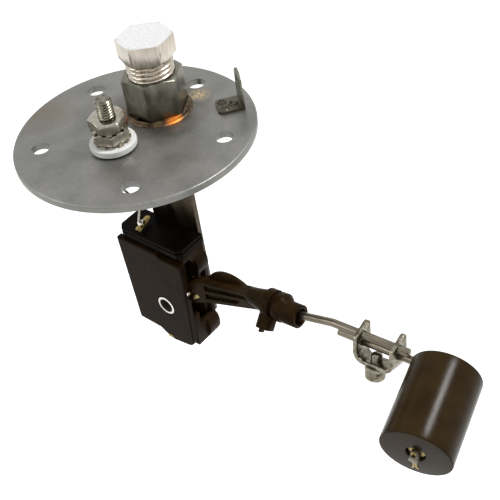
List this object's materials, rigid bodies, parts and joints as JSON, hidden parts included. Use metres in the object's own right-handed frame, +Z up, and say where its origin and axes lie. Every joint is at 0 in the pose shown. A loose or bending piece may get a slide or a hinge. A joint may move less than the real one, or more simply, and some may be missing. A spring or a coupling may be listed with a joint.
{
  "type": "fuel level sender",
  "caption": "Tank fuel level sender: bolted round flange with pipe port and terminal stud, hanging resistor housing, swinging float arm and cylindrical float.",
  "frame": {"origin": "centre of the flange's underside, the face that seats on the tank's gasket", "axes": "+Z up out of the tank, +X from the pivot towards the float arm, -Y to the housing's cover"},
  "size_m": [0.1506, 0.0698, 0.106],
  "materials": {
    "flange_steel": "bare pressed steel with heat tint",
    "dark_steel": "machined steel, darkened by brazing heat",
    "braze_copper": "copper braze bead, oxidised",
    "zinc": "bright zinc plate",
    "nylon": "natural white nylon",
    "fibre": "dark fibre gasket",
    "strap_steel": "bare steel strip",
    "black_plastic": "moulded glass-filled black plastic",
    "arm_plastic": "moulded black plastic",
    "brass": "bare brass strip",
    "tinned_wire": "tinned copper wire",
    "card": "phenolic card",
    "rod_steel": "cold drawn steel wire",
    "float_rubber": "satin nitrile foam skin"
  },
  "bodies": {
    "sender": {"flange_plate": "flange_steel", "port_coupling": "dark_steel", "braze_bead": "braze_copper", "port_plug": "zinc", "terminal_stud": "zinc", "stud_gasket": "fibre", "upper_insulator": "nylon", "lower_star_washer": "zinc", "lower_nut": "zinc", "upper_star_washer": "zinc", "upper_nut": "zinc", "under_insulator": "nylon", "lead_lug": "brass", "under_nut": "zinc", "ground_terminal": "dark_steel", "support_strap": "strap_steel", "housing_base": "black_plastic", "housing_cover": "black_plastic", "housing_lid": "black_plastic", "input_terminal": "brass", "lead_wire": "tinned_wire", "pivot_rivet": "zinc", "resistor_card": "card", "resistor_winding": "tinned_wire"},
    "arm": {"float_arm": "arm_plastic", "wiper_contact": "brass", "cable_tie": "arm_plastic", "arm_rod": "rod_steel", "clamp_bracket": "zinc", "clamp_screw": "zinc", "clamp_lock_washer": "zinc", "float_rod": "rod_steel", "float_retainer": "brass", "cotter_pin": "zinc"},
    "float": {"float": "float_rubber"}
  },
  "joints": [
    {"name": "arm_pivot", "type": "hinge", "parent": "sender", "child": "arm", "pos_m": [0.0008, -0.0005, -0.0639], "axis": [0, -1, 0], "range_deg": [-56, 8]},
    {"name": "float_spin", "type": "hinge", "parent": "arm", "child": "float", "pos_m": [0.1018, -0.0027, -0.03695], "axis": [0.1988, -0.9686, -0.1495], "continuous": true}
  ]
}
